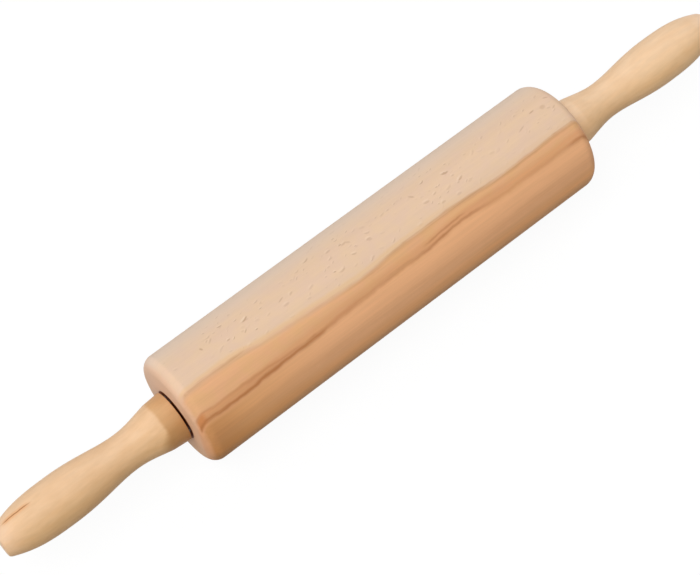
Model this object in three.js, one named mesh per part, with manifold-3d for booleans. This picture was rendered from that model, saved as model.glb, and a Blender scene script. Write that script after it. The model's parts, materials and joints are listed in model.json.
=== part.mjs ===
// Rolling pin: a beech barrel that turns freely on a steel axle between two beech handles.
// Each end of the barrel holds a small shielded ball bearing, hidden under the handle's collar.
// Millimetres, +Z up. X is the spin axis and the origin is the middle of the axle.

import * as THREE from 'three';
import { mergeVertices } from 'three/addons/utils/BufferGeometryUtils.js';
import Module from 'manifold-3d';

// Barrel
const BARREL_LENGTH = 245;
const BARREL_DIAMETER = 60;
const BARREL_EDGE_RADIUS = 6.4;

// Handles, along X from the collar's face to the tip
const HANDLE_GAP = 1; // barrel end face to collar face
const COLLAR_DIAMETER = 27.2;
const COLLAR_EDGE_BREAK = 0.4;
const COLLAR_TAPER = 0.7; // loss of radius along the collar
const COLLAR_LENGTH = 9.5;
const NECK_DIAMETER = 19.7;
const FLARE_LENGTH = 19.5; // collar to neck
const FLARE_START_SLOPE = 0.19; // radius lost per millimetre just after the collar
const GRIP_DIAMETER = 26;
const SWELL_LENGTH = 37.5; // neck to the thickest part of the grip
const TIP_DIAMETER = 16.4;
const TIP_EDGE_RADIUS = 1.8;
const TAIL_LENGTH = 34; // thickest part of the grip to the tip's face
const TAIL_END_SLOPE = 0.4; // radius lost per millimetre just before the tip's rounded edge

// How far each curve of the handle keeps its end tangent, as a share of the curve's length
const FLARE_EASE = 0.37;
const SWELL_START_EASE = 0.3;
const SWELL_END_EASE = 0.45;
const TAIL_START_EASE = 0.39;
const TAIL_END_EASE = 0.32;

// Axle and what screws onto it
const AXLE_DIAMETER = 8;
const AXLE_SHOULDER = 1; // step that the inner races rest on
const AXLE_BORE_CLEARANCE = 1; // radial, between the shoulder and the barrel's bore
const AXLE_GRIP_LENGTH = 34; // length inside each handle
const INSERT_WALL = 1.4;
const INSERT_LENGTH = 30;
const SOCKET_END_SPACE = 2; // past the axle and the insert

// Bearings
const BALL_DIAMETER = 3.969;
const BALL_COUNT = 7;
const BALL_RUNNING_GAP = 0.15; // ball to groove and ball to cage pocket
const RACE_WALL = 1.35; // under the groove
const RACE_LAND_OFFSET = 1.2; // pitch circle to the lands beside the grooves
const CAGE_LAND_GAP = 0.5; // cage to the lands, radial
const CAGE_WEB = 0.615; // behind the pockets
const CAGE_OPEN_SIDE = 1; // ball centre to the cage's open edge
const CAGE_SIDE_GAP = 0.25;
const SHIELD_THICKNESS = 0.4;
const SHIELD_INSET = 0.1;
const SHIELD_SEAT_DEPTH = 0.7; // land to shield seat, radial
const SHIELD_RUNNING_GAP = 0.35;
const BEARING_RECESS = 0.5; // bearing below the barrel's end face

// Fits
const FIT_CLEARANCE = 0.05; // radial, around pressed and screwed pieces
const FACE_GAP = 0.1; // between end faces that meet

// Facets around the axis; multiples of four, with a flat facing down
const BARREL_FACETS = 56;
const HANDLE_FACETS = 28;
const SMALL_FACETS = 24;
const BALL_FACETS = 10;
const BALL_RINGS = 6;
const ARC_STEPS = 3; // per half of an arc
const CURVE_STEPS = 5; // per free curve

// Sizes that follow from the ones above
const barrelHalf = BARREL_LENGTH / 2;
const barrelRadius = BARREL_DIAMETER / 2;
const axleRadius = AXLE_DIAMETER / 2;
const shoulderRadius = axleRadius + AXLE_SHOULDER;
const barrelBoreRadius = shoulderRadius + AXLE_BORE_CLEARANCE;
const fitRadius = axleRadius + FIT_CLEARANCE;
const insertRadius = fitRadius + INSERT_WALL;
const grooveRadius = BALL_DIAMETER / 2 + BALL_RUNNING_GAP;
const pitchRadius = fitRadius + RACE_WALL + grooveRadius;
const bearingRadius = pitchRadius + grooveRadius + RACE_WALL;
const innerLandRadius = pitchRadius - RACE_LAND_OFFSET;
const outerLandRadius = pitchRadius + RACE_LAND_OFFSET;
const shieldSeatRadius = outerLandRadius + SHIELD_SEAT_DEPTH;
const cageHalfThickness = RACE_LAND_OFFSET - CAGE_LAND_GAP;
const cageBack = grooveRadius + CAGE_WEB;
const shieldInner = cageBack + CAGE_SIDE_GAP;
const shieldOuter = shieldInner + SHIELD_THICKNESS;
const bearingHalf = shieldOuter + SHIELD_INSET;
const bearingCentre = barrelHalf - BEARING_RECESS - bearingHalf;
const seatRadius = bearingRadius + FIT_CLEARANCE;
const seatFloor = bearingCentre - bearingHalf - FACE_GAP;
const handleRoot = barrelHalf + HANDLE_GAP;
const axleEnd = handleRoot + AXLE_GRIP_LENGTH;
const insertStart = handleRoot + FACE_GAP;
const insertEnd = insertStart + INSERT_LENGTH;
const collarRadius = COLLAR_DIAMETER / 2;

// Finishes
const beechBarrel = { color: 0xdcae84, roughness: 0.55, metalness: 0 };
const beechHandle = { color: 0xe4bb8c, roughness: 0.5, metalness: 0 };
const axleSteel = { color: 0xb4b6b8, roughness: 0.32, metalness: 1 };
const bearingSteel = { color: 0xc6c8ca, roughness: 0.18, metalness: 1 };
const shieldSteel = { color: 0xa9acaf, roughness: 0.35, metalness: 1 };
const cageNylon = { color: 0xe9e2cf, roughness: 0.6, metalness: 0 };
const insertBrass = { color: 0xc9a451, roughness: 0.3, metalness: 1 };
const spacerNylon = { color: 0x3a3430, roughness: 0.6, metalness: 0 };

const wasm = await Module();
wasm.setup();

const rollingPin = new THREE.Group();

// Turns a profile of (radius, place along X) points about the X axis, with a flat facing down.
function turned(profile, facets) {
  const geometry = new THREE.LatheGeometry(profile, facets, Math.PI / facets);
  return geometry.rotateZ(-Math.PI / 2);
}

// A faceted hole is drawn around its circle, so that its flats stay clear of what it holds.
function hole(radius, facets) {
  return radius / Math.cos(Math.PI / facets);
}

// A plain ring between two radii and two places along X.
function ring(holeRadius, outerRadius, from, to) {
  const inner = hole(holeRadius, SMALL_FACETS);
  const profile = [
    new THREE.Vector2(inner, from),
    new THREE.Vector2(outerRadius, from),
    new THREE.Vector2(outerRadius, to),
    new THREE.Vector2(inner, to),
    new THREE.Vector2(inner, from),
  ];
  return turned(profile, SMALL_FACETS);
}

function addPiece(parent, name, geometry, finish) {
  const mesh = new THREE.Mesh(geometry, new THREE.MeshStandardMaterial(finish));
  mesh.name = name;
  parent.add(mesh);
}

function toSolid(geometry) {
  const bare = geometry.clone();
  bare.deleteAttribute('normal');
  bare.deleteAttribute('uv');
  const merged = mergeVertices(bare, 1e-4);
  const vertProperties = new Float32Array(merged.attributes.position.array);
  const corners = merged.index.array;
  const kept = [];
  for (let i = 0; i < corners.length; i += 3) {
    const [a, b, c] = [corners[i], corners[i + 1], corners[i + 2]];
    if (a !== b && b !== c && c !== a) kept.push(a, b, c);
  }
  const mesh = new wasm.Mesh({ numProp: 3, vertProperties, triVerts: new Uint32Array(kept) });
  return new wasm.Manifold(mesh);
}

function toGeometry(solid) {
  const mesh = solid.getMesh();
  const geometry = new THREE.BufferGeometry();
  geometry.setAttribute('position', new THREE.BufferAttribute(mesh.vertProperties, 3));
  geometry.setIndex(new THREE.BufferAttribute(mesh.triVerts, 1));
  return geometry;
}

// Barrel: rounded edges, a through bore for the axle and a counterbore at each end for a bearing.
function barrelGeometry() {
  const seat = hole(seatRadius, BARREL_FACETS);
  const bore = hole(barrelBoreRadius, BARREL_FACETS);
  const roomForEdge = barrelRadius - Math.max(seat, collarRadius);
  const edge = Math.min(BARREL_EDGE_RADIUS, roomForEdge);
  const outline = new THREE.Path();
  outline.moveTo(seat, -barrelHalf);
  outline.lineTo(barrelRadius - edge, -barrelHalf);
  outline.absarc(barrelRadius - edge, -barrelHalf + edge, edge, -Math.PI / 2, 0);
  outline.lineTo(barrelRadius, barrelHalf - edge);
  outline.absarc(barrelRadius - edge, barrelHalf - edge, edge, 0, Math.PI / 2);
  outline.lineTo(seat, barrelHalf);
  outline.lineTo(seat, seatFloor);
  outline.lineTo(bore, seatFloor);
  outline.lineTo(bore, -seatFloor);
  outline.lineTo(seat, -seatFloor);
  outline.lineTo(seat, -barrelHalf);
  return turned(outline.getPoints(ARC_STEPS), BARREL_FACETS);
}

// Axle: a round rod with a thicker middle, whose shoulders carry the inner races.
function axleGeometry() {
  const shoulder = seatFloor;
  const profile = [
    new THREE.Vector2(0, -axleEnd),
    new THREE.Vector2(axleRadius, -axleEnd),
    new THREE.Vector2(axleRadius, -shoulder),
    new THREE.Vector2(shoulderRadius, -shoulder),
    new THREE.Vector2(shoulderRadius, shoulder),
    new THREE.Vector2(axleRadius, shoulder),
    new THREE.Vector2(axleRadius, axleEnd),
    new THREE.Vector2(0, axleEnd),
  ];
  return turned(profile, SMALL_FACETS);
}

// Handle: a tapered collar, a concave flare to the neck, a swelling grip and a blunt tip.
// The profile starts at the bottom of the blind socket for the insert and the axle.
function handleGeometry() {
  const creaseRadius = collarRadius - COLLAR_TAPER;
  const neckRadius = NECK_DIAMETER / 2;
  const gripRadius = GRIP_DIAMETER / 2;
  const tipRadius = TIP_DIAMETER / 2;
  const crease = handleRoot + COLLAR_LENGTH;
  const neck = crease + FLARE_LENGTH;
  const grip = neck + SWELL_LENGTH;
  const tip = grip + TAIL_LENGTH;
  const socketRadius = hole(insertRadius + FIT_CLEARANCE, HANDLE_FACETS);
  const socketEnd = Math.max(axleEnd, insertEnd) + SOCKET_END_SPACE;
  const tipShoulder = tip - TIP_EDGE_RADIUS;
  const flareReach = FLARE_LENGTH * FLARE_EASE;
  const swellStartReach = SWELL_LENGTH * SWELL_START_EASE;
  const swellEndReach = SWELL_LENGTH * SWELL_END_EASE;
  const tailStartReach = TAIL_LENGTH * TAIL_START_EASE;
  const tailEndReach = TAIL_LENGTH * TAIL_END_EASE;

  const outline = new THREE.Path();
  outline.moveTo(0, socketEnd);
  outline.lineTo(socketRadius, socketEnd);
  outline.lineTo(socketRadius, handleRoot);
  outline.lineTo(collarRadius - COLLAR_EDGE_BREAK, handleRoot);
  outline.lineTo(collarRadius, handleRoot + COLLAR_EDGE_BREAK);
  outline.lineTo(creaseRadius, crease);
  outline.bezierCurveTo(
    creaseRadius - FLARE_START_SLOPE * flareReach, crease + flareReach,
    neckRadius, neck - flareReach,
    neckRadius, neck,
  );
  outline.bezierCurveTo(
    neckRadius, neck + swellStartReach,
    gripRadius, grip - swellEndReach,
    gripRadius, grip,
  );
  outline.bezierCurveTo(
    gripRadius, grip + tailStartReach,
    tipRadius + TAIL_END_SLOPE * tailEndReach, tipShoulder - tailEndReach,
    tipRadius, tipShoulder,
  );
  outline.quadraticCurveTo(tipRadius, tip, tipRadius - TIP_EDGE_RADIUS, tip);
  outline.lineTo(0, tip);
  return turned(outline.getPoints(CURVE_STEPS), HANDLE_FACETS);
}

// Races: rings with a round groove for the balls, centred on the bearing's middle plane.
// The groove's arc is taken about the pitch circle, from one land to the other.
const grooveAngle = Math.acos(RACE_LAND_OFFSET / grooveRadius);

function innerRaceGeometry() {
  const bore = hole(fitRadius, SMALL_FACETS);
  const outline = new THREE.Path();
  outline.moveTo(bore, -bearingHalf);
  outline.lineTo(innerLandRadius, -bearingHalf);
  outline.absarc(pitchRadius, 0, grooveRadius, Math.PI + grooveAngle, Math.PI - grooveAngle, true);
  outline.lineTo(innerLandRadius, bearingHalf);
  outline.lineTo(bore, bearingHalf);
  outline.lineTo(bore, -bearingHalf);
  return turned(outline.getPoints(ARC_STEPS), SMALL_FACETS);
}

function outerRaceGeometry() {
  const shieldSeat = shieldInner - FACE_GAP;
  const outline = new THREE.Path();
  outline.moveTo(shieldSeatRadius, -bearingHalf);
  outline.lineTo(bearingRadius, -bearingHalf);
  outline.lineTo(bearingRadius, bearingHalf);
  outline.lineTo(shieldSeatRadius, bearingHalf);
  outline.lineTo(shieldSeatRadius, shieldSeat);
  outline.lineTo(outerLandRadius, shieldSeat);
  outline.absarc(pitchRadius, 0, grooveRadius, grooveAngle, -grooveAngle, true);
  outline.lineTo(outerLandRadius, -shieldSeat);
  outline.lineTo(shieldSeatRadius, -shieldSeat);
  outline.lineTo(shieldSeatRadius, -bearingHalf);
  return turned(outline.getPoints(ARC_STEPS), SMALL_FACETS);
}

function ballGeometry(radius, index) {
  const angle = (index * 2 * Math.PI) / BALL_COUNT;
  const ball = new THREE.SphereGeometry(radius, BALL_FACETS, BALL_RINGS);
  return ball.translate(0, pitchRadius * Math.cos(angle), pitchRadius * Math.sin(angle));
}

// Cage: a crown ring whose pockets are open towards the handle.
function cageGeometry() {
  const inner = pitchRadius - cageHalfThickness;
  const outer = pitchRadius + cageHalfThickness;
  let cage = toSolid(ring(inner, outer, -cageBack, CAGE_OPEN_SIDE));
  for (let index = 0; index < BALL_COUNT; index += 1) {
    cage = cage.subtract(toSolid(ballGeometry(grooveRadius, index)));
  }
  return toGeometry(cage);
}

function shieldGeometry(from) {
  const inner = innerLandRadius + SHIELD_RUNNING_GAP;
  const outer = shieldSeatRadius - FIT_CLEARANCE;
  return ring(inner, outer, from, from + SHIELD_THICKNESS);
}

// One bearing, centred on its own middle plane with its outer side towards +X.
function addBearing(parent, side) {
  const bearing = new THREE.Group();
  bearing.position.x = bearingCentre;
  addPiece(bearing, `${side}_inner_race`, innerRaceGeometry(), bearingSteel);
  addPiece(bearing, `${side}_outer_race`, outerRaceGeometry(), bearingSteel);
  addPiece(bearing, `${side}_ball_cage`, cageGeometry(), cageNylon);
  for (let index = 0; index < BALL_COUNT; index += 1) {
    const ball = ballGeometry(BALL_DIAMETER / 2, index);
    addPiece(bearing, `${side}_ball_${index + 1}`, ball, bearingSteel);
  }
  addPiece(bearing, `${side}_outer_shield`, shieldGeometry(shieldInner), shieldSteel);
  addPiece(bearing, `${side}_inner_shield`, shieldGeometry(-shieldOuter), shieldSteel);
  parent.add(bearing);
}

// Everything at one end, made for +X; the left end is the same turned half a turn about Z.
function addEnd(side, turn) {
  const end = new THREE.Group();
  end.rotation.z = turn;
  const spacerFrom = bearingCentre + bearingHalf + FACE_GAP;
  const spacer = ring(fitRadius, innerLandRadius, spacerFrom, handleRoot - FACE_GAP);
  const insert = ring(fitRadius, insertRadius, insertStart, insertEnd);
  addPiece(end, `${side}_handle`, handleGeometry(), beechHandle);
  addPiece(end, `${side}_handle_insert`, insert, insertBrass);
  addPiece(end, `${side}_spacer`, spacer, spacerNylon);
  addBearing(end, side);
  rollingPin.add(end);
}

addPiece(rollingPin, 'barrel', barrelGeometry(), beechBarrel);
addPiece(rollingPin, 'axle', axleGeometry(), axleSteel);
addEnd('left', Math.PI);
addEnd('right', 0);

export default rollingPin;
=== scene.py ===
import json
import math

import bpy
from mathutils import Matrix, Vector


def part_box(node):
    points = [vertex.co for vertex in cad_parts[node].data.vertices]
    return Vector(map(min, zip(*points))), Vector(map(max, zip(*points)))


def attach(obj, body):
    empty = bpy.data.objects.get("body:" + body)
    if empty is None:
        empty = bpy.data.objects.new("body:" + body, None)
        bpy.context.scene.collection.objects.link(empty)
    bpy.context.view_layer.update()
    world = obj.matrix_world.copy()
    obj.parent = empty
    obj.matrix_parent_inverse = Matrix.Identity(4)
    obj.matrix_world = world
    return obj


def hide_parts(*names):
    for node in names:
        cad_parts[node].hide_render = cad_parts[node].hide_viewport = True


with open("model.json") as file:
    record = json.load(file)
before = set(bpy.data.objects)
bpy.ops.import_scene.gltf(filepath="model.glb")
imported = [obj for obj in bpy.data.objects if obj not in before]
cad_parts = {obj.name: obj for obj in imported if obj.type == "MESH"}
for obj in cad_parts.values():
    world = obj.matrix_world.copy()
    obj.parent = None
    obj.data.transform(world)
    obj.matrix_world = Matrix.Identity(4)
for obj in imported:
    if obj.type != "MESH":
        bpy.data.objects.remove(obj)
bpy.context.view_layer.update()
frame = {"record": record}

# Sizes in metres, in the frame's own axes: X is the spin axis
MM = 0.001
BARREL_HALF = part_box("barrel")[1].x
BARREL_RADIUS = 30 * MM
BARREL_EDGE = 6.4 * MM
SEAT_RADIUS = 11.08 * MM
SEAT_FLOOR = 114.9 * MM
BORE_RADIUS = 6.0 * MM

HANDLE_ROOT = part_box("right_handle")[0].x
HANDLE_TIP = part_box("right_handle")[1].x
COLLAR_RADIUS = 13.6 * MM
COLLAR_BREAK = 0.45 * MM
COLLAR_LENGTH = 9.5 * MM
CREASE_RADIUS = 12.9 * MM
NECK_RADIUS = 9.85 * MM
FLARE_LENGTH = 19.5 * MM
FLARE_SLOPE = 0.19
GRIP_RADIUS = 13 * MM
SWELL_LENGTH = 37.5 * MM
TIP_RADIUS = 8.2 * MM
TIP_EDGE = 1.8 * MM
SOCKET_RADIUS = 5.53 * MM
SOCKET_DEPTH = 36 * MM

BARREL_SEGMENTS = 192
HANDLE_SEGMENTS = 128
SHARP_ANGLE = math.radians(28)


def srgb(red, green, blue):
    """A colour given as screen values from 0 to 255, as the linear values that shaders take."""
    def linear(value):
        share = value / 255
        return share / 12.92 if share <= 0.04045 else ((share + 0.055) / 1.055) ** 2.4
    return (linear(red), linear(green), linear(blue), 1.0)


# Turned shapes

def arc(centre, radius, start, end, steps):
    """Points (x, r) of an arc in the plane of a profile, from one angle to another in degrees."""
    points = []
    for i in range(steps + 1):
        angle = math.radians(start + (end - start) * i / steps)
        points.append((centre[0] + radius * math.cos(angle), centre[1] + radius * math.sin(angle)))
    return points


def bezier(a, b, c, d, steps):
    """Points of a cubic curve, without its first one."""
    points = []
    for i in range(1, steps + 1):
        t = i / steps
        s = 1 - t
        weights = (s * s * s, 3 * s * s * t, 3 * s * t * t, t * t * t)
        points.append(tuple(sum(w * p[k] for w, p in zip(weights, (a, b, c, d))) for k in (0, 1)))
    return points


def solid(name, vertices, faces):
    """A smooth piece with its sharp edges kept."""
    mesh = bpy.data.meshes.new(name)
    mesh.from_pydata(vertices, [], faces)
    mesh.validate()
    piece = bpy.data.objects.new(name, mesh)
    bpy.context.scene.collection.objects.link(piece)
    mesh.shade_smooth()
    mesh.set_sharp_from_angle(angle=SHARP_ANGLE)
    return piece


def turned(name, profile, segments, closed):
    """A smooth solid turned about X from (x, r) points; closed profiles are rings."""
    vertices = []
    faces = []
    rings = []
    for x, r in profile:
        if r < 1e-9:
            rings.append([len(vertices)])
            vertices.append((x, 0.0, 0.0))
            continue
        rings.append(list(range(len(vertices), len(vertices) + segments)))
        for i in range(segments):
            angle = 2 * math.pi * i / segments
            vertices.append((x, r * math.cos(angle), r * math.sin(angle)))
    following = rings[1:] + rings[:1] if closed else rings[1:]
    for a, b in zip(rings, following):
        for i in range(segments):
            j = (i + 1) % segments
            corners = [a[i % len(a)], a[j % len(a)], b[j % len(b)], b[i % len(b)]]
            faces.append(list(dict.fromkeys(corners)))
    return solid(name, vertices, faces)


def barrel_profile():
    """From the left end face, over the rounded edges to the right, and back through the bore."""
    flat = BARREL_RADIUS - BARREL_EDGE
    straight = BARREL_HALF - BARREL_EDGE
    outer = [(-BARREL_HALF, SEAT_RADIUS)]
    outer += arc((-straight, flat), BARREL_EDGE, 180, 90, 20)
    outer += [(-straight + 2 * straight * i / 40, BARREL_RADIUS) for i in range(1, 40)]
    outer += arc((straight, flat), BARREL_EDGE, 90, 0, 20)
    outer += [(BARREL_HALF, SEAT_RADIUS), (SEAT_FLOOR, SEAT_RADIUS), (SEAT_FLOOR, BORE_RADIUS)]
    outer += [(-SEAT_FLOOR, BORE_RADIUS), (-SEAT_FLOOR, SEAT_RADIUS)]
    return outer


def handle_profile():
    """From the bottom of the socket, out round the collar and along the grip to the tip."""
    crease = HANDLE_ROOT + COLLAR_LENGTH
    neck = crease + FLARE_LENGTH
    grip = neck + SWELL_LENGTH
    shoulder = HANDLE_TIP - TIP_EDGE
    tail = HANDLE_TIP - grip
    socket_end = HANDLE_ROOT + SOCKET_DEPTH
    points = [(socket_end, 0.0), (socket_end, SOCKET_RADIUS), (HANDLE_ROOT, SOCKET_RADIUS)]
    corner = (HANDLE_ROOT + COLLAR_BREAK, COLLAR_RADIUS - COLLAR_BREAK)
    points += arc(corner, COLLAR_BREAK, 180, 90, 4)
    points.append((crease, CREASE_RADIUS))
    flare = 0.37 * FLARE_LENGTH
    points += bezier((crease, CREASE_RADIUS), (crease + flare, CREASE_RADIUS - FLARE_SLOPE * flare),
                     (neck - flare, NECK_RADIUS), (neck, NECK_RADIUS), 24)
    points += bezier((neck, NECK_RADIUS), (neck + 0.3 * SWELL_LENGTH, NECK_RADIUS),
                     (grip - 0.45 * SWELL_LENGTH, GRIP_RADIUS), (grip, GRIP_RADIUS), 32)
    reach = 0.32 * tail
    points += bezier((grip, GRIP_RADIUS), (grip + 0.39 * tail, GRIP_RADIUS),
                     (shoulder - reach, TIP_RADIUS + 0.4 * reach), (shoulder, TIP_RADIUS), 28)
    points += bezier((shoulder, TIP_RADIUS), (shoulder + 0.6 * TIP_EDGE, TIP_RADIUS - 0.25 * TIP_EDGE),
                     (HANDLE_TIP, TIP_RADIUS - 0.5 * TIP_EDGE), (HANDLE_TIP, TIP_RADIUS - TIP_EDGE), 8)
    points.append((HANDLE_TIP, 0.0))
    return points


# Materials

class Graph:
    """One material's node tree, with short calls for the nodes used here."""

    def __init__(self, name):
        self.material = bpy.data.materials.new(name)
        self.material.use_nodes = True
        self.nodes = self.material.node_tree.nodes
        self.links = self.material.node_tree.links
        self.shader = self.nodes["Principled BSDF"]

    def feed(self, socket, value):
        if isinstance(value, bpy.types.NodeSocket):
            self.links.new(value, socket)
        else:
            socket.default_value = value

    def node(self, kind, inputs, **settings):
        made = self.nodes.new(kind)
        for key, value in settings.items():
            setattr(made, key, value)
        for key, value in inputs.items():
            self.feed(made.inputs[key], value)
        return made

    def math(self, operation, a, b=0.0):
        return self.node("ShaderNodeMath", {0: a, 1: b}, operation=operation).outputs[0]

    def ramp(self, value, low, high, to_low=0.0, to_high=1.0, smooth=True):
        kind = "SMOOTHSTEP" if smooth else "LINEAR"
        inputs = {"Value": value, "From Min": low, "From Max": high, "To Min": to_low, "To Max": to_high}
        return self.node("ShaderNodeMapRange", inputs, interpolation_type=kind).outputs[0]

    def mix(self, share, a, b, blend="MIX"):
        inputs = {0: share, 6: a, 7: b}
        return self.node("ShaderNodeMix", inputs, data_type="RGBA", blend_type=blend).outputs[2]

    def scaled(self, vector, factors, offset=(0, 0, 0)):
        inputs = {0: vector, 1: factors, 2: offset}
        return self.node("ShaderNodeVectorMath", inputs, operation="MULTIPLY_ADD").outputs[0]

    def noise(self, vector, scale=1.0, detail=3.0, roughness=0.5):
        inputs = {"Vector": vector, "Scale": scale, "Detail": detail, "Roughness": roughness}
        return self.node("ShaderNodeTexNoise", inputs).outputs["Fac"]

    def curve(self, value, points):
        """A smooth curve through given (0 to 1, 0 to 1) points."""
        made = self.node("ShaderNodeFloatCurve", {"Value": value})
        line = made.mapping.curves[0]
        for place, height in points[1:-1]:
            line.points.new(place, height)
        for point, (place, height) in zip(line.points, points):
            point.location = (place, height)
        made.mapping.update()
        return made.outputs[0]

    def shaded(self, color, level):
        """A colour made darker or lighter by a level about 1."""
        grey = self.node("ShaderNodeCombineColor", {0: level, 1: level, 2: level}).outputs[0]
        return self.mix(1.0, color, grey, blend="MULTIPLY")

    def object_mm(self):
        """The place on the piece, in millimetres."""
        coordinates = self.node("ShaderNodeTexCoord", {}).outputs["Object"]
        return self.scaled(coordinates, (1000.0, 1000.0, 1000.0))


# Beech colours of the barrel. Those with four plain numbers multiply another colour. Some go by place on
# the wood:
# the grey pale tone on the upper back side is in part painted light and painted reflection, and the yellow
# and darker tones towards the low front side are in part painted shade
PALE_PINK = srgb(229, 197, 171)
PALE_YELLOW = srgb(231, 199, 167)
PALE_GREY_AND_PAINTED_LIGHT = srgb(237, 213, 192)
YELLOW_EDGE = srgb(231, 194, 152)
WARM = srgb(230, 175, 131)
WARM_YELLOW = srgb(228, 177, 127)
WARM_DEEP = srgb(245, 185, 136)
BROWN_DEEP = srgb(234, 172, 116)
BROWN_END = srgb(212, 151, 97)
ORANGE = srgb(222, 158, 110)
LINE = srgb(184, 118, 72)
HOOK = srgb(206, 132, 76)
LOW_YELLOW_PARTLY_SHADE = (1.06, 1.0, 0.86, 1)
LOW_PAINTED_SHADE = (0.72, 0.75, 0.78, 1)
EDGE_BROWN = srgb(196, 146, 102)
FLECK = srgb(178, 137, 106)
FLECK_LIGHT = srgb(242, 216, 192)
END_PINK_AND_HIGHLIGHT = srgb(238, 194, 162)
END_WARM = srgb(236, 178, 136)
EDGE_PAINTED_HIGHLIGHT = (1.07, 1.05, 1.05, 1)
GAP_PAINTED_SHADE = srgb(134, 66, 28)

# Turns the place on the barrel about X, so that its y runs across the growth rings
RING_ANGLE = math.radians(189.7)
# The highest place along the ring normal that a drift curve can give, in millimetres
EDGE_SPAN = 20
LINE_SPAN = 30

# Single marks on the flecked side, in millimetres along X and around the barrel from the middle of
# that side: place, half length and half width, tilt in degrees and strength
MARKS = (
    ((-99.0, -3.1), (1.3, 0.7), 65, 0.8),
    ((-54.5, 0.8), (2.3, 0.5), -21, 0.6),
    ((-10.5, -3.2), (1.7, 0.9), 40, 0.4),
    ((28.8, -2.8), (2.1, 0.8), 50, 0.6),
    ((95.0, 3.1), (3.0, 0.5), -18, 0.55),
    ((105.5, -1.4), (2.1, 0.6), -6, 0.8),
    ((111.5, 0.0), (2.0, 1.6), 0, 0.45),
    ((116.6, -3.6), (1.9, 0.6), 25, 0.65),
    ((115.8, 3.6), (1.6, 0.5), -25, 0.55),
)


def soft_spot(g, local, reach, width):
    """A soft ellipse about a local origin: 1 in its middle, 0 at its edge."""
    split = g.node("ShaderNodeSeparateXYZ", {0: local})
    u = g.math("DIVIDE", split.outputs[0], reach)
    v = g.math("DIVIDE", split.outputs[1], width)
    far = g.math("ADD", g.math("MULTIPLY", u, u), g.math("MULTIPLY", v, v))
    return g.ramp(far, 0.1, 1.0, 1.0, 0.0)


def single_marks(g, flat):
    """The larger marks, each at its own place."""
    total = 0.0
    for (along, around), (reach, width), tilt, strength in MARKS:
        local = g.scaled(flat, (1, 1, 0), (-along, -around, 0))
        level = g.node("ShaderNodeVectorRotate", {"Vector": local, "Angle": math.radians(-tilt)},
                       rotation_type="Z_AXIS").outputs[0]
        spot = g.math("MULTIPLY", soft_spot(g, level, reach, width), strength)
        total = g.math("MAXIMUM", spot, total)
    return total


def ray_flecks(g, flat, cell, offset, chance):
    """One small bent dash in some of the cells of a surface: the dark dash and its light side."""
    placed = g.scaled(flat, (1 / cell, 1 / cell, 0), (offset, offset, 0))
    cells = g.node("ShaderNodeTexVoronoi", {"Vector": placed, "Scale": 1.0}, voronoi_dimensions="2D")
    local = g.node("ShaderNodeVectorMath", {0: placed, 1: cells.outputs["Position"]},
                   operation="SUBTRACT")
    dice = g.node("ShaderNodeSeparateColor", {0: cells.outputs["Color"]}).outputs
    angle = g.ramp(dice[0], 0, 1, 0.75, -0.35, smooth=False)
    level = g.node("ShaderNodeVectorRotate", {"Vector": local.outputs[0], "Angle": angle},
                   rotation_type="Z_AXIS").outputs[0]
    split = g.node("ShaderNodeSeparateXYZ", {0: level})
    bend = g.math("MULTIPLY", g.math("SUBTRACT", dice[1], 0.5), 3.0)
    sag = g.math("MULTIPLY", bend, g.math("POWER", split.outputs[0], 2.0))
    bent = g.math("ADD", split.outputs[1], sag)
    reach = g.ramp(dice[1], 0, 1, 0.16, 0.34, smooth=False)
    width = g.ramp(dice[0], 0, 1, 0.065, 0.115, smooth=False)
    strength = g.math("POWER", g.ramp(dice[2], 1 - chance, 1.0, 0.0, 1.0, smooth=False), 1.3)
    dark_local = g.node("ShaderNodeCombineXYZ", {0: split.outputs[0], 1: bent}).outputs[0]
    light_local = g.scaled(dark_local, (1, 1, 0), (0.03, 0.12, 0))
    dark = g.math("MULTIPLY", strength, soft_spot(g, dark_local, reach, width))
    light = g.math("MULTIPLY", strength, soft_spot(g, light_local, reach, width))
    return dark, light


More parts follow.
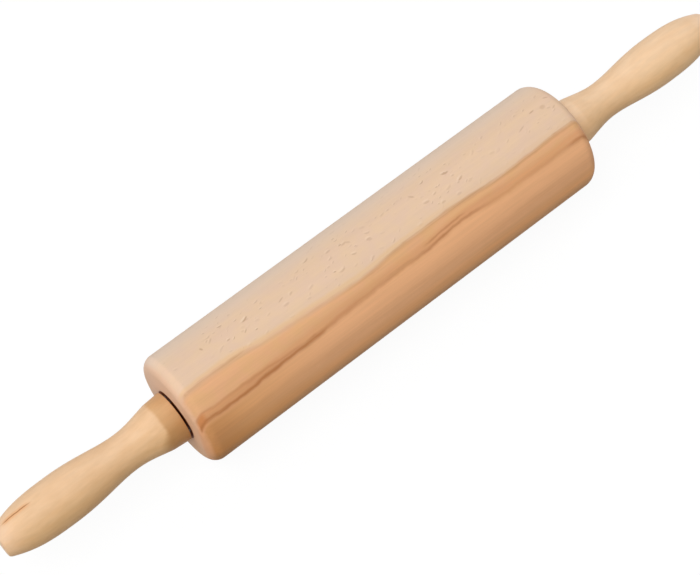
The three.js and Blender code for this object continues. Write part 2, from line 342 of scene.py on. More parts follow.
def barrel_beech():
    """Beech with flat growth rings: pale and flecked where the rays lie flat, warm past one ring.

    In the turned coordinates y runs across the rings, towards the low front side at rest, and z
    runs along them, across the rays."""
    g = Graph("barrel_beech")
    wood = g.node("ShaderNodeVectorRotate", {"Vector": g.object_mm(), "Angle": RING_ANGLE},
                  rotation_type="X_AXIS").outputs[0]
    along, across, beside = g.node("ShaderNodeSeparateXYZ", {0: wood}).outputs
    from_middle = g.math("ABSOLUTE", along)
    share = g.ramp(along, -125, 125, smooth=False)

    wander = g.noise(g.scaled(wood, (1 / 30, 1 / 9, 1 / 9)), detail=3.0)
    waver = g.noise(g.scaled(wood, (1 / 6, 1 / 4, 1 / 4), (3, 0, 0)), detail=2.0)
    bends = g.math("ADD", g.math("MULTIPLY", wander, 1.2), g.math("MULTIPLY", waver, 1.0))
    ring = g.math("ADD", across, g.math("SUBTRACT", bends, 1.1))
    streak = g.noise(g.scaled(wood, (1 / 40, 1 / 1.1, 1 / 1.1)), detail=4.0, roughness=0.6)
    broad = g.noise(g.scaled(wood, (1 / 50, 1 / 3.5, 1 / 3.5), (7, 0, 0)), detail=2.0)
    fine = g.noise(g.scaled(wood, (1 / 14, 1 / 0.28, 1 / 0.28)), detail=3.0, roughness=0.6)
    cloud = g.noise(g.scaled(wood, (1 / 9, 1 / 6, 1 / 6)), detail=2.0)

    # The edge of the pale wood, in millimetres along the ring normal: soft on the left, crisp on the
    # right
    edge_drift = ((0, 0.54), (0.12, 0.50), (0.21, 0.61), (0.34, 0.70), (0.44, 0.75), (0.52, 0.71),
                  (0.65, 0.68), (0.78, 0.75), (0.9, 0.73), (1, 0.725))
    edge = g.math("MULTIPLY", g.curve(share, edge_drift), EDGE_SPAN)
    past_edge = g.math("SUBTRACT", ring, edge)
    softness = g.ramp(along, -55, -15, 2.6, 1.1)
    warm_share = g.ramp(past_edge, g.math("MULTIPLY", softness, -1.0), softness)
    glow = g.ramp(g.math("ABSOLUTE", g.math("ADD", past_edge, 1.5)), 0.2, 1.9, 1.0, 0.0)
    glow = g.math("MULTIPLY", glow, g.ramp(along, 0, 60, 0.8, 0.3))
    edge_line = g.ramp(g.math("ABSOLUTE", g.math("SUBTRACT", past_edge, 0.3)), 0.1, 1.5, 1.0, 0.0)
    edge_line = g.math("MULTIPLY", edge_line, g.ramp(streak, 0.38, 0.6, 0.35, 1.0))
    edge_line = g.math("MULTIPLY", edge_line, g.ramp(from_middle, 118.0, 121.0, 1.0, 0.0))
    edge_strengths = ((0, 0.7), (0.14, 0.7), (0.2, 0.25), (0.34, 0.3), (0.46, 0.6), (1, 0.75))
    edge_strength = g.curve(share, edge_strengths)

    # The dark growth line in the warm wood: strong on the left, where a thin strand leaves it, and
    # again right of the middle
    line_drift = ((0, 0.76), (0.09, 0.787), (0.2, 0.762), (0.3, 0.748), (0.36, 0.725), (0.5, 0.707),
                  (0.58, 0.706), (0.67, 0.671), (0.78, 0.713), (0.9, 0.72), (1, 0.735))
    line_place = g.math("MULTIPLY", g.curve(share, line_drift), LINE_SPAN)
    past_line = g.math("SUBTRACT", ring, line_place)
    line_strengths = ((0, 0.8), (0.29, 0.8), (0.34, 0.38), (0.5, 0.42), (0.59, 0.6), (0.66, 0.85),
                      (0.74, 0.2), (0.92, 0.15), (0.96, 0.6), (1, 0.6))
    line_strength = g.curve(share, line_strengths)
    line_widths = ((0, 0.55), (0.29, 0.55), (0.38, 0.75), (0.5, 0.6), (0.6, 0.42), (0.7, 0.42), (1, 0.6))
    line_reach = g.math("MULTIPLY", g.curve(share, line_widths), 2.2)
    line_share = g.ramp(g.math("ABSOLUTE", past_line), 0.0, line_reach, 1.0, 0.0)
    line_share = g.math("MULTIPLY", line_share, line_strength)
    line_share = g.math("MULTIPLY", line_share, g.ramp(streak, 0.3, 0.55, 0.6, 1.0))
    left_parting = g.ramp(along, -100, -48, 2.8, 0.0, smooth=False)
    off_strand = g.math("ABSOLUTE", g.math("ADD", past_line, left_parting))
    left_strand = g.ramp(off_strand, 0.0, 0.9, 0.35, 0.0)
    left_strand = g.math("MULTIPLY", left_strand, g.ramp(along, -64, -52, 1.0, 0.0))
    right_strand = g.ramp(g.math("ABSOLUTE", g.math("ADD", past_line, 1.6)), 0.0, 0.7, 0.5, 0.0)
    right_window = g.ramp(g.math("ABSOLUTE", g.math("SUBTRACT", along, 31)), 8, 16, 1.0, 0.0)
    right_strand = g.math("MULTIPLY", right_strand, right_window)
    dark = g.math("MAXIMUM", line_share, g.math("MAXIMUM", left_strand, right_strand))
    dark = g.math("MULTIPLY", dark, g.ramp(from_middle, 121.0, 122.2, 1.0, 0.0))

    # The orange wood above the line, and the browner wood below it towards the left end
    band = g.ramp(g.math("ABSOLUTE", g.math("ADD", past_line, 1.1)), 0.8, 3.0, 1.0, 0.0)
    band = g.math("MULTIPLY", band, g.ramp(along, -30, 70, 0.5, 0.65))
    band = g.math("MULTIPLY", band, g.ramp(streak, 0.3, 0.6, 0.55, 1.0))
    hook = g.ramp(g.math("ABSOLUTE", g.math("ADD", past_line, 1.0)), 0.8, 2.4, 0.8, 0.0)
    hook = g.math("MULTIPLY", hook, g.ramp(along, -122.2, -120.8))
    hook = g.math("MULTIPLY", hook, g.ramp(along, -119.0, -115.5, 1.0, 0.25))
    hook = g.math("MULTIPLY", hook, g.ramp(along, -90, -50, 1.0, 0.0))
    deep = g.mix(g.ramp(along, -115, -40, 1.0, 0.0), WARM_DEEP, BROWN_DEEP)
    deep = g.mix(g.ramp(along, -120, -92, 1.0, 0.0), deep, BROWN_END)
    low_ring = g.ramp(g.math("ABSOLUTE", g.math("SUBTRACT", ring, 28.4)), 0.2, 1.2, 0.14, 0.0)
    low_ring = g.math("MULTIPLY", low_ring, g.ramp(broad, 0.35, 0.6))

    pale = g.mix(g.ramp(cloud, 0.3, 0.7), PALE_PINK, PALE_YELLOW)
    # Partly painted light and painted reflection: paler, greyer wood towards the upper back side
    pale = g.mix(g.ramp(across, -4, -22, 0.0, 0.9), pale, PALE_GREY_AND_PAINTED_LIGHT)
    pale = g.mix(glow, pale, YELLOW_EDGE)

    # On the side away from the warm wood the rings are cut flat again, and the rays end in short
    # dashes
    turn = g.math("ARCTAN2", across, g.math("MULTIPLY", beside, -1.0))
    around = g.math("MULTIPLY", turn, BARREL_RADIUS / MM)
    flat = g.node("ShaderNodeCombineXYZ", {0: along, 1: around}).outputs[0]
    flat_cut = g.ramp(across, -21, -27)
    rings = g.noise(g.node("ShaderNodeCombineXYZ", {0: ring}).outputs[0], scale=0.9, detail=2.0)
    dashes = g.ramp(g.noise(g.scaled(flat, (1 / 2.6, 1 / 0.5, 0)), detail=1.0), 0.6, 0.72)
    pale = g.mix(g.math("MULTIPLY", flat_cut, g.ramp(rings, 0.45, 0.62, 0.0, 0.5)), pale, WARM)
    pale = g.mix(g.math("MULTIPLY", flat_cut, g.math("MULTIPLY", dashes, 0.3)), pale, FLECK)

    warm = g.mix(g.ramp(cloud, 0.3, 0.7), WARM, WARM_YELLOW)
    warm = g.mix(g.ramp(past_line, -0.8, 2.5), warm, deep)
    warm = g.mix(low_ring, warm, LINE)
    warm = g.mix(band, warm, ORANGE)
    # Partly painted shade: the warm wood turns yellower towards the low front side
    warm = g.mix(g.ramp(beside, -8.0, 1.0), warm, g.mix(1.0, warm, LOW_YELLOW_PARTLY_SHADE, blend="MULTIPLY"))
    # Painted shade: the warm wood is darker in a band on the low front side, easing off further round
    low_shade_share = g.math("MULTIPLY", g.ramp(beside, 0.0, 10.0), g.ramp(beside, 14.0, 24.0, 1.0, 0.3))
    low_shade_share = g.math("MULTIPLY", low_shade_share, g.ramp(along, 40, 95, 1.0, 0.85))
    warm = g.mix(low_shade_share, warm, g.mix(1.0, warm, LOW_PAINTED_SHADE, blend="MULTIPLY"))
    color = g.mix(warm_share, pale, warm)
    # Over the rounded ends and end faces the end grain turns pinker, in part a painted highlight
    end_color = g.mix(g.ramp(past_line, -3.5, 0.5), END_PINK_AND_HIGHLIGHT, END_WARM)
    color = g.mix(g.ramp(from_middle, 119.8, 122.2, 0.0, 0.7), color, end_color)
    color = g.mix(hook, color, HOOK)
    color = g.mix(g.math("MULTIPLY", edge_line, edge_strength), color, EDGE_BROWN)
    color = g.mix(dark, color, LINE)

    # Ray flecks, in clusters, where the surface lies along the rays
    large_dark, large_light = ray_flecks(g, flat, 8.5, 3.0, 0.75)
    small_dark, small_light = ray_flecks(g, flat, 6.0, 17.0, 0.6)
    tiny_dark, tiny_light = ray_flecks(g, flat, 4.2, 31.0, 0.6)
    facing = g.math("MULTIPLY", g.ramp(g.math("ABSOLUTE", beside), 23.5, 28.5),
                    g.ramp(from_middle, 114, 118, 1.0, 0.0))
    clear = g.ramp(past_edge, -3.5, -0.8, 1.0, 0.0)
    patches = g.noise(g.scaled(wood, (1 / 24, 1 / 10, 1 / 10)), detail=1.0)
    cluster = g.ramp(patches, 0.32, 0.54, 0.25, 1.0)
    bunches = ((0, 0.3), (0.1, 0.65), (0.2, 1.0), (0.31, 0.45), (0.42, 0.95), (0.55, 0.5),
               (0.69, 1.0), (0.79, 0.4), (0.9, 0.7), (1, 0.5))
    bunched = g.math("MULTIPLY", cluster, g.curve(share, bunches))
    amount = g.math("MULTIPLY", g.math("MULTIPLY", facing, clear), bunched)
    dense = g.ramp(bunched, 0.35, 0.9)
    tiny_dark = g.math("MULTIPLY", tiny_dark, dense)
    tiny_light = g.math("MULTIPLY", tiny_light, dense)
    fleck = g.math("MAXIMUM", g.math("MAXIMUM", large_dark, small_dark), tiny_dark)
    fleck = g.math("MULTIPLY", fleck, amount)
    fleck = g.math("MAXIMUM", fleck, single_marks(g, flat))
    glint = g.math("MAXIMUM", g.math("MAXIMUM", large_light, small_light), tiny_light)
    glint = g.math("MULTIPLY", glint, amount)
    color = g.mix(g.math("MULTIPLY", glint, 0.6), color, FLECK_LIGHT)
    color = g.mix(g.math("MULTIPLY", fleck, 0.58), color, FLECK)

    # Faint streaks along the grain
    grey = g.math("ADD", g.math("MULTIPLY", streak, 0.4), g.math("MULTIPLY", fine, 0.25))
    grey = g.math("ADD", grey, g.math("MULTIPLY", broad, 0.35))
    depth = g.ramp(past_edge, -2.0, 3.0, 0.025, 0.06)
    swing = g.ramp(grey, 0.35, 0.65, -1.0, 1.0, smooth=False)
    color = g.shaded(color, g.math("ADD", 1.0, g.math("MULTIPLY", depth, swing)))

    # The rounded edge is painted paler as a highlight, and the end face within the collar's radius is
    # painted dark as the gap's shade
    edge_highlight = g.math("MULTIPLY", g.ramp(from_middle, 116.4, 118.2),
                  g.ramp(from_middle, 121.0, 122.3, 1.0, 0.0))
    edge_highlight = g.math("MULTIPLY", edge_highlight, g.ramp(past_edge, -4.0, 1.0, 1.0, 0.0))
    color = g.mix(edge_highlight, color, g.mix(1.0, color, EDGE_PAINTED_HIGHLIGHT, blend="MULTIPLY"))
    # Painted shade: the end face inside the collar's radius is darkened as the gap's shadow
    off_axis = g.node("ShaderNodeVectorMath", {0: g.scaled(wood, (0, 1, 1))},
                      operation="LENGTH").outputs["Value"]
    color = g.mix(g.ramp(off_axis, 13.4, 14.2, 1.0, 0.0), color, GAP_PAINTED_SHADE)

    g.feed(g.shader.inputs["Base Color"], color)
    g.feed(g.shader.inputs["Roughness"], g.ramp(fine, 0.3, 0.7, 0.54, 0.66))
    g.shader.inputs["Specular IOR Level"].default_value = 0.1
    height = g.math("ADD", g.math("MULTIPLY", fine, 0.6), g.math("MULTIPLY", fleck, -0.4))
    bump = g.node("ShaderNodeBump", {"Strength": 0.12, "Distance": 0.0002, "Height": height})
    g.feed(g.shader.inputs["Normal"], bump.outputs[0])
    return g.material


# Handle colours: light and dark wood, then tones that multiply them: on the low front side, in part
# painted shade;
# at the tip, a painted highlight; on the collars, painted shade on the left handle and painted light on
# the right one
LEFT_LIGHT = srgb(241, 203, 164)
LEFT_DARK = srgb(236, 194, 151)
LEFT_LOW = (0.92, 0.85, 0.68, 1)
RIGHT_LIGHT = srgb(246, 211, 174)
RIGHT_DARK = srgb(242, 203, 162)
RIGHT_LOW = (1.01, 0.93, 0.76, 1)
CRACK = srgb(150, 88, 46)
CRACK_TINT = srgb(230, 168, 114)
TIP_PAINTED_HIGHLIGHT = (1.05, 1.08, 1.18, 1)
COLLAR_SHADE_TOP = (0.86, 0.77, 0.63, 1)
COLLAR_SHADE_LOW = (0.66, 0.56, 0.44, 1)
COLLAR_LIGHT_TOP = (1.04, 1.08, 1.14, 1)
COLLAR_LIGHT_LOW = (1.08, 1.1, 1.14, 1)


def handle_beech(name, seed, wood_tones, collar_painted_tones, cracked):
    """Even, pale beech with a collar tone of painted shade (left) and painted light (right); one handle
    has a short open grain line near its tip.
    """
    g = Graph(name)
    light, dark, low = wood_tones
    mm = g.object_mm()
    along, y, z = g.node("ShaderNodeSeparateXYZ", {0: mm}).outputs
    from_middle = g.math("ABSOLUTE", along)
    placed = g.scaled(mm, (1.0, 1.0, 1.0), (seed, 2 * seed, 3 * seed))
    streak = g.noise(g.scaled(placed, (1 / 60, 1 / 3.0, 1 / 3.0)), detail=4.0, roughness=0.55)
    cloud = g.noise(g.scaled(placed, (1 / 12, 1 / 7, 1 / 7)), detail=2.0)
    fine = g.noise(g.scaled(placed, (1 / 12, 1 / 0.3, 1 / 0.3)), detail=3.0)
    grain = g.math("ADD", g.math("MULTIPLY", streak, 0.5), g.math("MULTIPLY", cloud, 0.5))
    color = g.mix(g.ramp(grain, 0.3, 0.7), dark, light)

    # Darker and browner towards the low front side, which is partly shade
    lower = g.math("ADD", g.math("MULTIPLY", y, -0.938), g.math("MULTIPLY", z, -0.347))
    color = g.mix(g.ramp(lower, -6, 11), color, g.mix(1.0, color, low, blend="MULTIPLY"))

    # The collar tone, painted shade on the left handle and painted light on the right, fades out past the
    # crease;
    # where the collar faces the gap it is painted dark as shade
    crease = (HANDLE_ROOT + COLLAR_LENGTH) / MM
    collar_painted_tone = g.mix(g.ramp(lower, -9, 11), *collar_painted_tones)
    uneven = g.math("ADD", from_middle, g.math("MULTIPLY", g.math("SUBTRACT", cloud, 0.5), 2.0))
    fade_end = g.math("ADD", crease + 0.9, g.ramp(lower, 3, 11, 0.0, 8.0))
    collar = g.ramp(uneven, crease - 1.3, fade_end, 1.0, 0.0)
    color = g.mix(collar, color, g.mix(1.0, color, collar_painted_tone, blend="MULTIPLY"))
    # Painted shade: the root face that faces the gap is darkened
    root = HANDLE_ROOT / MM
    under = g.ramp(from_middle, root + 0.1, root + 0.4, 1.0, 0.0)
    color = g.mix(under, color, GAP_PAINTED_SHADE)

    # A faint mottle, and a paler tip that is a painted highlight
    faint = g.noise(g.scaled(placed, (1 / 9, 1 / 2.2, 1 / 2.2)), detail=3.0)
    color = g.shaded(color, g.ramp(faint, 0.35, 0.65, 0.972, 1.028, smooth=False))
    tip = HANDLE_TIP / MM
    tip_highlighted = g.mix(1.0, color, TIP_PAINTED_HIGHLIGHT, blend="MULTIPLY")
    color = g.mix(g.ramp(from_middle, tip - 13, tip - 2), color, tip_highlighted)
    height = fine
    if cracked:
        # The grain line lies in a plane through the axis
        off_plane = g.math("SUBTRACT", g.math("MULTIPLY", y, 0.941), g.math("MULTIPLY", z, 0.337))
        sway = g.noise(g.scaled(mm, (1 / 8, 0, 0)))
        waver = g.math("MULTIPLY", g.math("SUBTRACT", sway, 0.5), 1.2)
        from_centre = g.math("ADD", along, 211.0)
        slant = g.math("MULTIPLY", from_centre, 0.12)
        off_line = g.math("ABSOLUTE", g.math("ADD", g.math("ADD", off_plane, waver), slant))
        span = g.ramp(g.math("ABSOLUTE", from_centre), 4.5, 9.5, 1.0, 0.0)
        span = g.math("MULTIPLY", span, g.math("GREATER_THAN", z, 0.0))
        tint = g.math("MULTIPLY", span, g.ramp(off_line, 0.2, 2.2, 1.0, 0.0))
        open_line = g.math("MULTIPLY", span, g.ramp(off_line, 0.05, 0.4, 1.0, 0.0))
        color = g.mix(g.math("MULTIPLY", tint, 0.65), color, CRACK_TINT)
        color = g.mix(g.math("MULTIPLY", open_line, 0.85), color, CRACK)
        height = g.math("SUBTRACT", fine, g.math("MULTIPLY", open_line, 4.0))

    g.feed(g.shader.inputs["Base Color"], color)
    g.feed(g.shader.inputs["Roughness"], g.ramp(fine, 0.3, 0.7, 0.44, 0.56))
    g.shader.inputs["Specular IOR Level"].default_value = 0.14
    bump = g.node("ShaderNodeBump", {"Strength": 0.08, "Distance": 0.0002, "Height": height})
    g.feed(g.shader.inputs["Normal"], bump.outputs[0])
    return g.material


# Painted shade: browns for the metal inside the handle's gap
GAP_SHADE_BROWN = srgb(108, 56, 26)
GAP_SHADE_DARK = srgb(76, 38, 18)


def metal(name, color, roughness):
    """Turned metal with fine rings about the axis; where it faces the handle's gap it is a brown,
    non-metal painted shade.
    """
    g = Graph(name)
    mm = g.object_mm()
    rings = g.noise(g.scaled(mm, (6.0, 0.15, 0.15)), detail=3.0)
    from_middle = g.math("ABSOLUTE", g.node("ShaderNodeSeparateXYZ", {0: mm}).outputs[0])
    gap_shaded = g.math("MULTIPLY", g.ramp(from_middle, 121.4, 121.7),
                    g.ramp(from_middle, 123.2, 123.4, 1.0, 0.0))
    shade_mottle = g.ramp(g.noise(mm, scale=0.5, detail=3.0), 0.35, 0.65)
    g.feed(g.shader.inputs["Base Color"], g.mix(gap_shaded, color, g.mix(shade_mottle, GAP_SHADE_DARK, GAP_SHADE_BROWN)))
    g.feed(g.shader.inputs["Metallic"], g.math("SUBTRACT", 1.0, gap_shaded))
    g.shader.inputs["Specular IOR Level"].default_value = 0.1
    g.feed(g.shader.inputs["Roughness"], g.ramp(rings, 0.3, 0.7, roughness * 0.8, roughness * 1.25))
    bump = g.node("ShaderNodeBump", {"Strength": 0.05, "Distance": 0.0001, "Height": rings})
    g.feed(g.shader.inputs["Normal"], bump.outputs[0])
    return g.material


def nylon(name, color, shade):
    """Moulded plastic with a slight mottle between two colours."""
    g = Graph(name)
    mottle = g.noise(g.object_mm(), scale=1.4, detail=4.0)
    g.feed(g.shader.inputs["Base Color"], g.mix(g.ramp(mottle, 0.35, 0.65), color, shade))
    g.feed(g.shader.inputs["Roughness"], g.ramp(mottle, 0.3, 0.7, 0.5, 0.64))
    bump = g.node("ShaderNodeBump", {"Strength": 0.06, "Distance": 0.0001, "Height": mottle})
    g.feed(g.shader.inputs["Normal"], bump.outputs[0])
    return g.material


def give(piece, material):
    piece.data.materials.clear()
    piece.data.materials.append(material)


# The wooden pieces

barrel = turned("barrel_wood", barrel_profile(), BARREL_SEGMENTS, closed=True)
give(barrel, barrel_beech())
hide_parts("barrel")
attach(barrel, "roller")

handles = (("left", math.pi, 11.0, (LEFT_LIGHT, LEFT_DARK, LEFT_LOW), (COLLAR_SHADE_TOP, COLLAR_SHADE_LOW)),
           ("right", 0.0, 37.0, (RIGHT_LIGHT, RIGHT_DARK, RIGHT_LOW), (COLLAR_LIGHT_TOP, COLLAR_LIGHT_LOW)))
for side, turn, seed, wood_tones, collar_painted_tones in handles:
    handle = turned(f"{side}_handle_wood", handle_profile(), HANDLE_SEGMENTS, closed=False)
    handle.data.transform(Matrix.Rotation(turn, 4, "Z"))
    wood = handle_beech(f"{side}_handle_beech", seed, wood_tones, collar_painted_tones, cracked=side == "left")
    give(handle, wood)
    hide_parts(f"{side}_handle")
    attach(handle, "grips")

# The working pieces inside: the axle, what screws onto it, and a bearing at each end

FIT_RADIUS = 4.05 * MM
AXLE_RADIUS = 4 * MM
SHOULDER_RADIUS = 5 * MM
INSERT_RADIUS = 5.45 * MM
BALL_COUNT = 7
BALL_RADIUS = 1.9845 * MM
GROOVE_RADIUS = 2.1345 * MM
PITCH_RADIUS = 7.5345 * MM
LAND_OFFSET = 1.2 * MM
BEARING_CENTRE = 118.5 * MM
BEARING_HALF = 3.5 * MM
BEARING_RADIUS = 11.019 * MM
SHIELD_SEAT_RADIUS = 9.4345 * MM
SHIELD_SEAT = 2.9 * MM
SHIELD_INNER = 3.0 * MM
SHIELD_OUTER = 3.4 * MM
SHIELD_HOLE = 6.6845 * MM
SHIELD_CLEARANCE = 0.05 * MM
SHIELD_CHAMFER = 0.1 * MM
SPACER_CHAMFER = 0.2 * MM
CAGE_HALF_THICKNESS = 0.7 * MM
CAGE_BACK = -2.75 * MM
CAGE_OPEN = 1.0 * MM
POCKET_STEPS = 20
THREAD_PITCH = 1.25 * MM
THREAD_DEPTH = 0.4 * MM
RACE_CHAMFER = 0.3 * MM
INSERT_CHAMFER = 0.3 * MM
SHOULDER_CHAMFER = 0.4 * MM
AXLE_CHAMFER = 0.8 * MM
THREAD_START = HANDLE_ROOT + 1 * MM
SMALL_SEGMENTS = 64
BALL_SEGMENTS = 32

land_angle = math.degrees(math.asin(LAND_OFFSET / GROOVE_RADIUS))


def ring_profile(inner_radius, outer_radius, start, end, chamfer):
    """A closed ring with chamfered corners."""
    c = chamfer
    return [(start, inner_radius + c), (start, outer_radius - c), (start + c, outer_radius),
            (end - c, outer_radius), (end, outer_radius - c), (end, inner_radius + c),
            (end - c, inner_radius), (start + c, inner_radius)]


def thread_profile(radius, start, end):
    """Ridges of a screw thread between two places along X."""
    points = []
    count = round((end - start) / THREAD_PITCH)
    step = (end - start) / count
    for i in range(count):
        x = start + i * step
        points += [(x, radius), (x + 0.2 * step, radius), (x + 0.5 * step, radius - THREAD_DEPTH),
                   (x + 0.7 * step, radius - THREAD_DEPTH)]
    return points + [(end, radius)]


def axle_profile():
    """The right half, from its shoulder to its threaded end, and the same mirrored."""
    axle_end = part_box("axle")[1].x
    half = [(SEAT_FLOOR - SHOULDER_CHAMFER, SHOULDER_RADIUS),
            (SEAT_FLOOR, SHOULDER_RADIUS - SHOULDER_CHAMFER), (SEAT_FLOOR, AXLE_RADIUS)]
    half += thread_profile(AXLE_RADIUS, THREAD_START, axle_end - AXLE_CHAMFER)
    half += [(axle_end, AXLE_RADIUS - AXLE_CHAMFER), (axle_end, 0.0)]
    return [(-x, r) for x, r in reversed(half)] + half


def insert_profile():
    low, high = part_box("right_handle_insert")
    c = INSERT_CHAMFER
    outer = [(low.x, FIT_RADIUS + c), (low.x, INSERT_RADIUS - c)]
    outer += thread_profile(INSERT_RADIUS, low.x + c, high.x - c)
    return outer + [(high.x, INSERT_RADIUS - c), (high.x, FIT_RADIUS + c),
                    (high.x - c, FIT_RADIUS), (low.x + c, FIT_RADIUS)]


def inner_race_profile():
    c = RACE_CHAMFER
    land = PITCH_RADIUS - LAND_OFFSET
    points = [(-BEARING_HALF, FIT_RADIUS + c), (-BEARING_HALF, land - c), (-BEARING_HALF + c, land)]
    points += arc((0, PITCH_RADIUS), GROOVE_RADIUS, 180 + land_angle, 360 - land_angle, 20)
    return points + [(BEARING_HALF - c, land), (BEARING_HALF, land - c), (BEARING_HALF, FIT_RADIUS + c),
                     (BEARING_HALF - c, FIT_RADIUS), (-BEARING_HALF + c, FIT_RADIUS)]


def outer_race_profile():
    c = RACE_CHAMFER
    land = PITCH_RADIUS + LAND_OFFSET
    points = [(-BEARING_HALF, SHIELD_SEAT_RADIUS), (-BEARING_HALF, BEARING_RADIUS - c),
              (-BEARING_HALF + c, BEARING_RADIUS), (BEARING_HALF - c, BEARING_RADIUS),
              (BEARING_HALF, BEARING_RADIUS - c), (BEARING_HALF, SHIELD_SEAT_RADIUS),
              (SHIELD_SEAT, SHIELD_SEAT_RADIUS), (SHIELD_SEAT, land)]
    points += arc((0, PITCH_RADIUS), GROOVE_RADIUS, land_angle, 180 - land_angle, 20)
    return points + [(-SHIELD_SEAT, land), (-SHIELD_SEAT, SHIELD_SEAT_RADIUS)]


def shield_profile(start, end):
    return ring_profile(SHIELD_HOLE, SHIELD_SEAT_RADIUS - SHIELD_CLEARANCE, start, end, SHIELD_CHAMFER)


def crown_cage(name):
    """A ring with round pockets, open on its +X side, one for each ball."""
    sides = []
    wall = GROOVE_RADIUS
    for index in range(BALL_COUNT):
        centre = 2 * math.pi * index / BALL_COUNT
        for i in range(POCKET_STEPS + 1):
            off = wall * math.sin(math.radians(-90 + 180 / POCKET_STEPS * i))
            depth = math.sqrt(max(wall * wall - off * off, 0.0))
            sides.append((centre + off / PITCH_RADIUS, -depth))
        gap = 2 * math.pi / BALL_COUNT - 2 * wall / PITCH_RADIUS
        for i in range(5):
            sides.append((centre + wall / PITCH_RADIUS + gap * (0.02 + 0.24 * i), CAGE_OPEN))
    vertices = []
    faces = []
    inner_radius = PITCH_RADIUS - CAGE_HALF_THICKNESS
    outer_radius = PITCH_RADIUS + CAGE_HALF_THICKNESS
    for angle, open_side in sides:
        for x, r in ((CAGE_BACK, inner_radius), (CAGE_BACK, outer_radius),
                     (open_side, outer_radius), (open_side, inner_radius)):
            vertices.append((x, r * math.cos(angle), r * math.sin(angle)))
    for i in range(len(sides)):
        a = 4 * i
        b = 4 * ((i + 1) % len(sides))
        for k in range(4):
            n = (k + 1) % 4
            faces.append((a + k, b + k, b + n, a + n))
    return solid(name, vertices, faces)


inner = {
    "axle_steel": metal("axle_steel", srgb(196, 197, 199), 0.3),
    "bearing_steel": metal("bearing_steel", srgb(212, 213, 215), 0.16),
    "shield_steel": metal("shield_steel", srgb(186, 188, 190), 0.34),
    "insert_brass": metal("insert_brass", srgb(218, 186, 110), 0.28),
    "cage_nylon": nylon("cage_nylon", srgb(232, 224, 202), srgb(222, 212, 186)),
    "spacer_nylon": nylon("spacer_nylon", srgb(62, 38, 24), srgb(50, 30, 18)),
}
record = frame["record"]
slot_of = {subpart["node"]: subpart["material_slot"] for subpart in record["subparts"]}
body_of = {node: body for body, nodes in record["behaviour"]["bodies"].items() for node in nodes}


def fit_inside(piece, node, moves):
    """Places an inner piece and gives it its CAD node's material and body."""
    for move in moves:
        piece.data.transform(move)
    give(piece, inner[slot_of[node]])
    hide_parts(node)
    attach(piece, body_of[node])


fit_inside(turned("axle_turned", axle_profile(), SMALL_SEGMENTS, closed=False), "axle", ())
spacer_low, spacer_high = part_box("right_spacer")
to_bearing = Matrix.Translation((BEARING_CENTRE, 0, 0))
for side, half_turn in (("left", math.pi), ("right", 0.0)):
    to_side = Matrix.Rotation(half_turn, 4, "Z")
    insert = turned(f"{side}_insert_turned", insert_profile(), SMALL_SEGMENTS, closed=True)
    fit_inside(insert, f"{side}_handle_insert", (to_side,))
    spacer_ring = ring_profile(FIT_RADIUS, PITCH_RADIUS - LAND_OFFSET, spacer_low.x, spacer_high.x,
                               SPACER_CHAMFER)
    spacer = turned(f"{side}_spacer_turned", spacer_ring, SMALL_SEGMENTS, closed=True)
    fit_inside(spacer, f"{side}_spacer", (to_side,))
    rings = (("inner_race", inner_race_profile()), ("outer_race", outer_race_profile()),
             ("outer_shield", shield_profile(SHIELD_INNER, SHIELD_OUTER)),
             ("inner_shield", shield_profile(-SHIELD_OUTER, -SHIELD_INNER)))
    for part, profile in rings:
        piece = turned(f"{side}_{part}_turned", profile, SMALL_SEGMENTS, closed=True)
        fit_inside(piece, f"{side}_{part}", (to_bearing, to_side))
    fit_inside(crown_cage(f"{side}_cage_crown"), f"{side}_ball_cage", (to_bearing, to_side))
    for index in range(BALL_COUNT):
        angle = 2 * math.pi * index / BALL_COUNT
        sphere = arc((0, 0), BALL_RADIUS, 180, 0, 20)
        ball = turned(f"{side}_ball_{index + 1}_ground", sphere, BALL_SEGMENTS, closed=False)
        off_axis = (0, PITCH_RADIUS * math.cos(angle), PITCH_RADIUS * math.sin(angle))
        to_pitch = Matrix.Translation(off_axis)
        fit_inside(ball, f"{side}_ball_{index + 1}", (to_pitch, to_bearing, to_side))

# Camera at the photograph's angle: the focal length in pixels, angles and offsets come from the outline

FOCAL_PIXELS = 1926
IMAGE_WIDTH = 700
SENSOR = 36.0
AZIMUTH = math.radians(-39.27)
ELEVATION = math.radians(64.44)
DISTANCE = 0.9495
OFFSET_RIGHT = 0.0122
OFFSET_UP = 0.00954

right = Vector((math.cos(AZIMUTH), math.sin(AZIMUTH), 0))
back = Vector((math.sin(AZIMUTH) * math.cos(ELEVATION), -math.cos(AZIMUTH) * math.cos(ELEVATION),
               math.sin(ELEVATION)))
up = back.cross(right)
camera_data = bpy.data.cameras.new("camera")
camera_data.sensor_width = SENSOR
camera_data.sensor_fit = "HORIZONTAL"
camera_data.lens = FOCAL_PIXELS * SENSOR / IMAGE_WIDTH
camera_data.clip_start = 0.01
camera = bpy.data.objects.new("camera", camera_data)
place = back * DISTANCE - right * OFFSET_RIGHT - up * OFFSET_UP
camera.matrix_world = Matrix.Translation(place) @ Matrix((right, up, back)).transposed().to_4x4()
bpy.context.scene.collection.objects.link(camera)
bpy.context.scene.camera = camera

# Floor and light

bpy.context.scene.view_settings.view_transform = "Standard"

FLOOR_SIZE = 40.0
floor_mesh = bpy.data.meshes.new("floor")
half = FLOOR_SIZE / 2
floor_corners = [(-half, -half, 0), (half, -half, 0), (half, half, 0), (-half, half, 0)]
floor_mesh.from_pydata(floor_corners, [], [(0, 1, 2, 3)])
floor = bpy.data.objects.new("floor", floor_mesh)
floor.location.z = -BARREL_RADIUS
bpy.context.scene.collection.objects.link(floor)

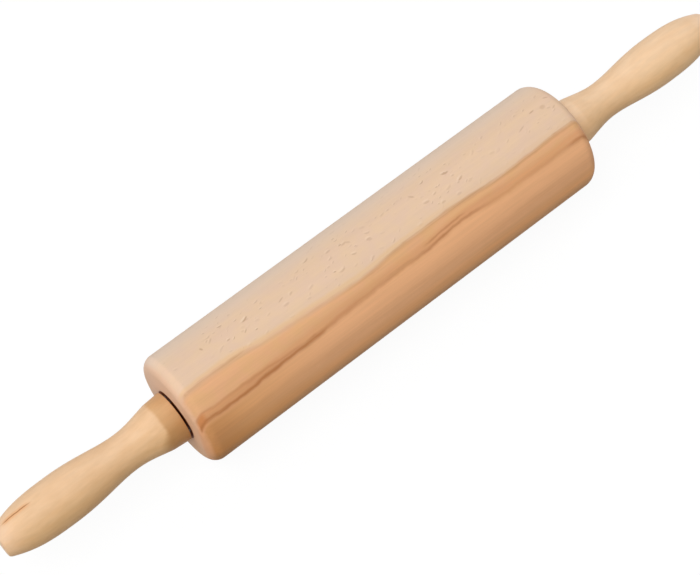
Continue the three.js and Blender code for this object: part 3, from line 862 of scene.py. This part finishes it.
# The floor looks white to the camera, and throws less light back onto the wood than it shows
floor_graph = Graph("floor_white")
floor_graph.shader.inputs["Base Color"].default_value = (0.3, 0.3, 0.3, 1)
floor_graph.shader.inputs["Roughness"].default_value = 0.9
floor_graph.shader.inputs["Specular IOR Level"].default_value = 0.0
path = floor_graph.node("ShaderNodeLightPath", {})
seen = floor_graph.math("MAXIMUM", path.outputs["Is Camera Ray"], path.outputs["Is Glossy Ray"])
seen = floor_graph.math("MAXIMUM", seen, path.outputs["Is Transmission Ray"])
glow = floor_graph.node("ShaderNodeEmission", {"Color": (1, 1, 1, 1), "Strength": 1.25})
share = floor_graph.math("MULTIPLY", seen, 0.75)
both = floor_graph.node("ShaderNodeMixShader",
                        {0: share, 1: floor_graph.shader.outputs[0], 2: glow.outputs[0]})
floor_graph.feed(floor_graph.nodes["Material Output"].inputs["Surface"], both.outputs[0])
give(floor, floor_graph.material)

world = bpy.data.worlds.new("studio")
bpy.context.scene.world = world
world.use_nodes = True
world_nodes = world.node_tree.nodes
world_nodes["Background"].inputs["Color"].default_value = (1, 1, 1, 1)
eye_rays = world_nodes.new("ShaderNodeLightPath")
strength = world_nodes.new("ShaderNodeMapRange")
strength.inputs["To Min"].default_value = 0.42
strength.inputs["To Max"].default_value = 1.0
world.node_tree.links.new(eye_rays.outputs["Is Camera Ray"], strength.inputs["Value"])
world.node_tree.links.new(strength.outputs[0], world_nodes["Background"].inputs["Strength"])


def softbox(name, position, size, power):
    """A soft rectangular lamp that faces the middle of the part."""
    lamp_data = bpy.data.lights.new(name, "AREA")
    lamp_data.shape = "RECTANGLE"
    lamp_data.size, lamp_data.size_y = size
    lamp_data.energy = power
    lamp = bpy.data.objects.new(name, lamp_data)
    lamp.location = position
    lamp.rotation_euler = (-position).to_track_quat("-Z", "Y").to_euler()
    bpy.context.scene.collection.objects.link(lamp)


# Far enough away that both ends get the same light; a level is what a white card facing it shows
LAMP_DISTANCE = 8.0
for name, way, size, level in (("key_softbox", (-0.40, 0.02, 0.916), (5.0, 4.5), 0.515),
                               ("side_softbox", (-0.85, -0.2, 0.48), (4.0, 4.0), 0.14),
                               ("back_softbox", (0.55, 0.5, 0.67), (4.0, 4.0), 0.15)):
    softbox(name, Vector(way) * LAMP_DISTANCE, size, level * math.pi ** 2 * LAMP_DISTANCE ** 2)
